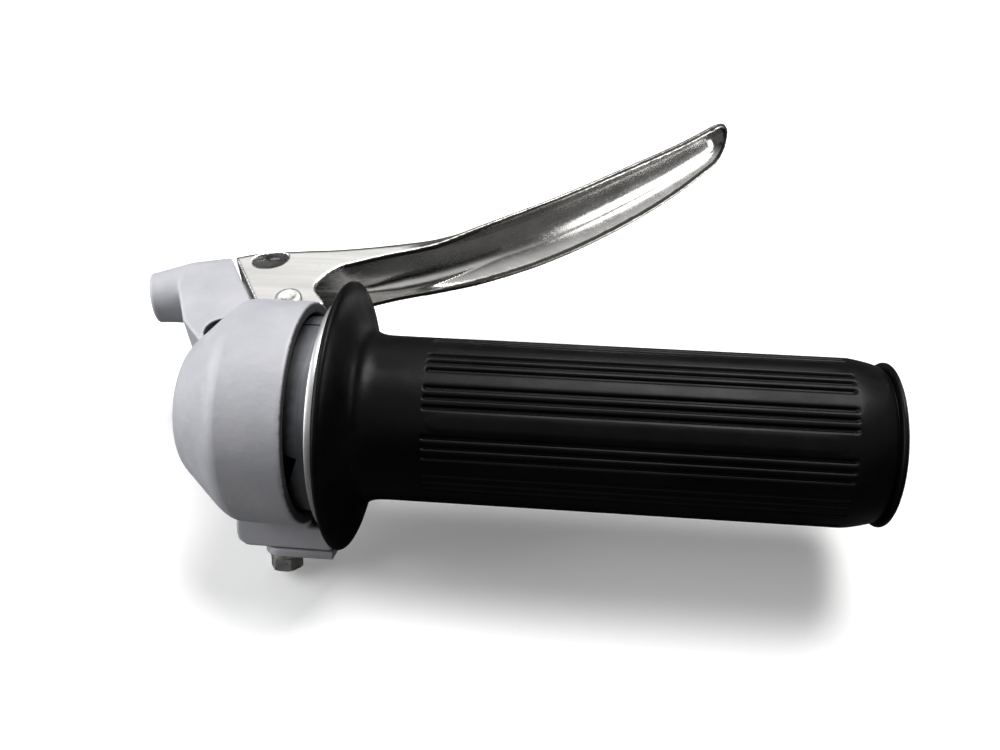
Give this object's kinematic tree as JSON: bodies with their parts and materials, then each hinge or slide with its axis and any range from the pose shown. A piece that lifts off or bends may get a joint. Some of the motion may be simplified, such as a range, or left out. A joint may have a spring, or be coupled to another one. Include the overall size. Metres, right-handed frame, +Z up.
{
  "type": "throttle grip",
  "caption": "Right-hand moped throttle grip: cast silver twist-grip housing with a pivoted pressed-steel brake lever and a ribbed black rubber grip, for a 22 mm handlebar.",
  "frame": {"origin": "The middle of the rubber grip's closed end face, on the handlebar axis.", "axes": "+X runs outboard along the handlebar and out of the grip's end face, +Y points forward to the lever's side, +Z is up."},
  "size_m": [0.1599, 0.1383, 0.0582],
  "materials": {
    "cast_paint": "satin silver-grey paint over a casting",
    "bright_steel": "plated pressed steel, polished",
    "zinc": "zinc-plated fastener",
    "alloy": "bare die-cast alloy, turned",
    "rubber": "moulded black rubber with a low sheen",
    "brass": "machined brass",
    "fibre": "vulcanised fibre"
  },
  "bodies": {
    "housing": {"housing_body": "cast_paint", "slider_cover": "cast_paint", "cover_screw": "zinc", "cover_spring_washer": "zinc", "handlebar_set_screw": "zinc", "set_screw_locknut": "zinc", "throttle_cable_stop": "brass", "drum_thrust_washer": "fibre", "lever_pivot_bush": "brass", "upper_pivot_shim": "zinc", "lower_pivot_shim": "zinc"},
    "twist_grip": {"throttle_sleeve": "bright_steel", "throttle_drum": "alloy", "thrust_ring": "alloy", "rubber_grip": "rubber"},
    "slider": {"cable_slider": "brass", "slider_peg": "bright_steel"},
    "lever": {"brake_lever": "bright_steel", "lever_pivot_rivet": "bright_steel"}
  },
  "joints": [
    {"name": "throttle_twist", "type": "hinge", "parent": "housing", "child": "twist_grip", "pos_m": [-0.1136, 0, 0], "axis": [1, 0, 0], "range_deg": [0, 75]},
    {"name": "cable_slide", "type": "slide", "parent": "housing", "child": "slider", "axis": [1, 0, 0], "range_m": [0, 0.009]},
    {"name": "brake_lever_pull", "type": "hinge", "parent": "housing", "child": "lever", "pos_m": [-0.1242, 0.0264, 0], "axis": [0, 0, -1], "range_deg": [0, 22]}
  ],
  "couplings": [
    {"joint": "cable_slide", "follows": "throttle_twist", "m_per_rad": 0.0068755}
  ]
}
